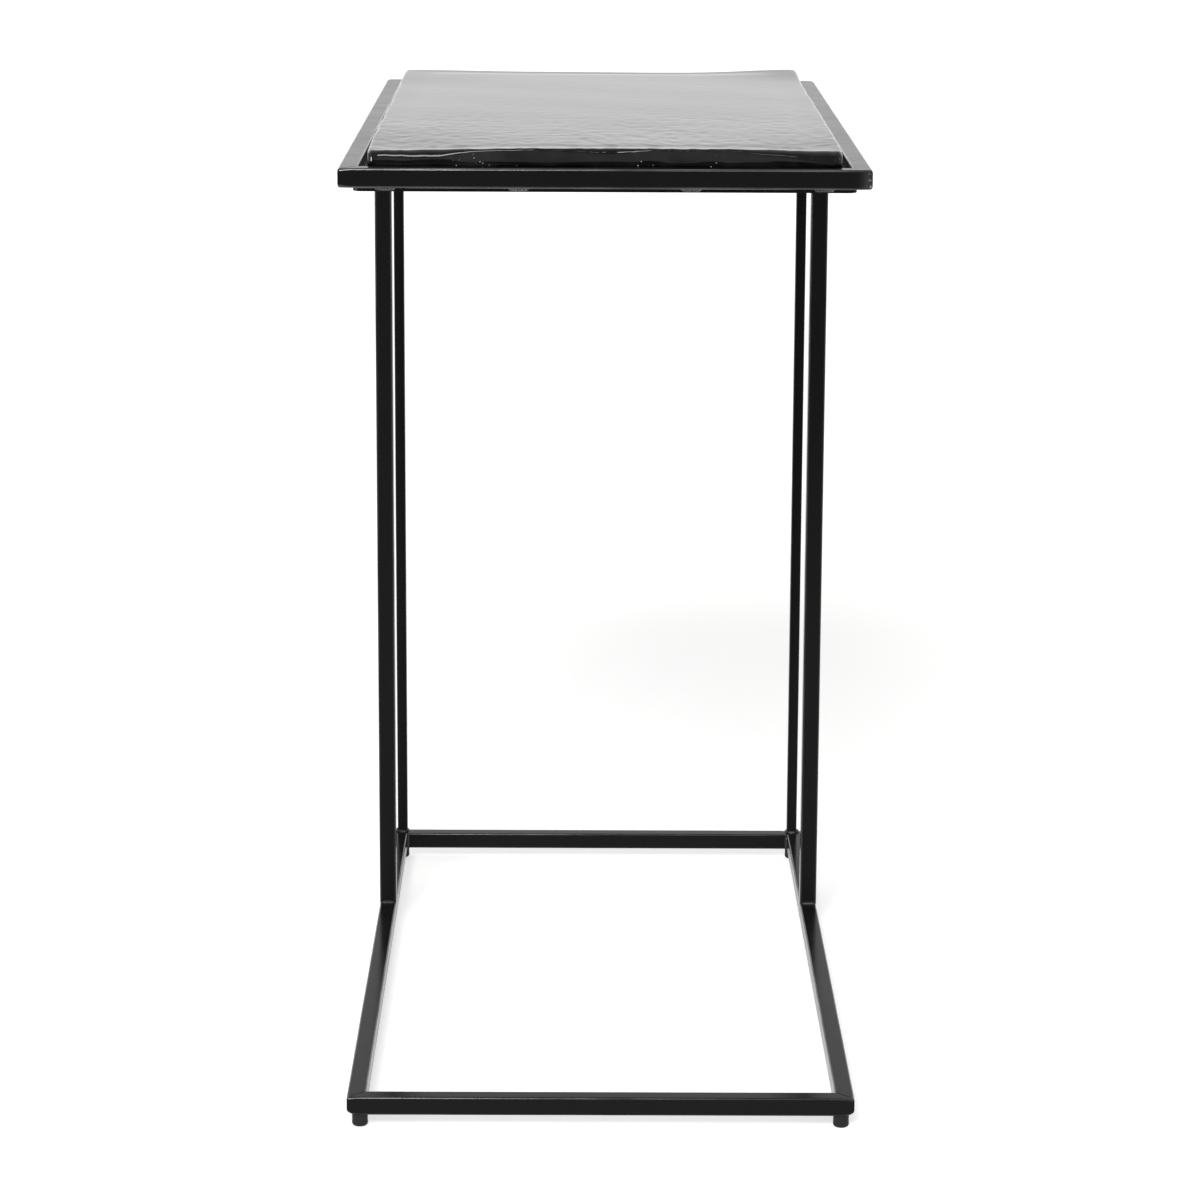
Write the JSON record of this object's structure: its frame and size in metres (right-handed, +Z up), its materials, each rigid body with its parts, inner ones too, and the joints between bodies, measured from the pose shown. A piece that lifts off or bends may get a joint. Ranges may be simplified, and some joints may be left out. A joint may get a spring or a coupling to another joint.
{
  "type": "accent table",
  "caption": "C-shaped sofa-side accent table: welded square-tube frame with uprights towards one end, a tray holding a loose cast glass slab, and screw-in levelling feet.",
  "frame": {"origin": "on the floor, in the middle of the footprint", "axes": "+Z up, +Y from the open end towards the uprights, X across the table"},
  "size_m": [0.334, 0.64, 0.6424],
  "materials": {
    "powder_coat": "satin black powder coat",
    "cast_glass": "gloss black, rippled",
    "foot_plastic": "matt dark grey",
    "stud_steel": "zinc plated",
    "bumper_silicone": "milky silicone"
  },
  "bodies": {
    "frame": {"top_front_rail": "powder_coat", "top_rear_rail": "powder_coat", "top_left_rail": "powder_coat", "top_right_rail": "powder_coat", "base_front_rail": "powder_coat", "base_rear_rail": "powder_coat", "base_left_rail": "powder_coat", "base_right_rail": "powder_coat", "front_upright_left": "powder_coat", "front_upright_right": "powder_coat", "rear_upright_left": "powder_coat", "rear_upright_right": "powder_coat", "tray_sheet": "powder_coat", "upright_foot_welds": "powder_coat", "upright_head_welds": "powder_coat", "top_corner_welds": "powder_coat", "base_corner_welds": "powder_coat", "sheet_tack_welds": "powder_coat", "slab_bumpers": "bumper_silicone", "foot_nuts": "stud_steel"},
    "slab": {"slab": "cast_glass"},
    "foot_front_left": {"foot_pad_front_left": "foot_plastic", "foot_stud_front_left": "stud_steel"},
    "foot_front_right": {"foot_pad_front_right": "foot_plastic", "foot_stud_front_right": "stud_steel"},
    "foot_rear_left": {"foot_pad_rear_left": "foot_plastic", "foot_stud_rear_left": "stud_steel"},
    "foot_rear_right": {"foot_pad_rear_right": "foot_plastic", "foot_stud_rear_right": "stud_steel"}
  },
  "joints": [
    {"name": "slab_lift", "type": "slide", "parent": "frame", "child": "slab", "axis": [0, 0, 1], "range_m": [0, 0.06]},
    {"name": "foot_front_left_level", "type": "slide", "parent": "frame", "child": "foot_front_left", "axis": [0, 0, -1], "range_m": [0, 0.005]},
    {"name": "foot_front_right_level", "type": "slide", "parent": "frame", "child": "foot_front_right", "axis": [0, 0, -1], "range_m": [0, 0.005]},
    {"name": "foot_rear_left_level", "type": "slide", "parent": "frame", "child": "foot_rear_left", "axis": [0, 0, -1], "range_m": [0, 0.005]},
    {"name": "foot_rear_right_level", "type": "slide", "parent": "frame", "child": "foot_rear_right", "axis": [0, 0, -1], "range_m": [0, 0.005]}
  ]
}
